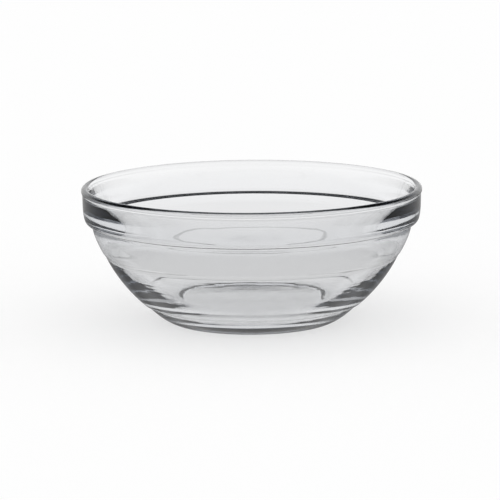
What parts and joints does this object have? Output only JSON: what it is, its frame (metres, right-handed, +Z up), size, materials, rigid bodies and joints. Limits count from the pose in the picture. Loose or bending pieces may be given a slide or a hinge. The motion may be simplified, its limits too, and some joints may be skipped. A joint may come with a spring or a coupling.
{
  "type": "dessert bowl",
  "caption": "Round stackable dessert bowl of clear pressed glass, with a beaded rim, an upright band over a ledge, a stepped curved wall and a flat foot.",
  "frame": {"origin": "centre of the foot's flat ring, on the table", "axes": "+Z up along the bowl's axis of revolution; X and Y are alike, because the bowl is turned about Z"},
  "size_m": [0.14, 0.14, 0.0555],
  "materials": {
    "clear_glass": "fire-polished, glossy"
  },
  "bodies": {
    "root": {"bowl": "clear_glass"}
  },
  "joints": []
}
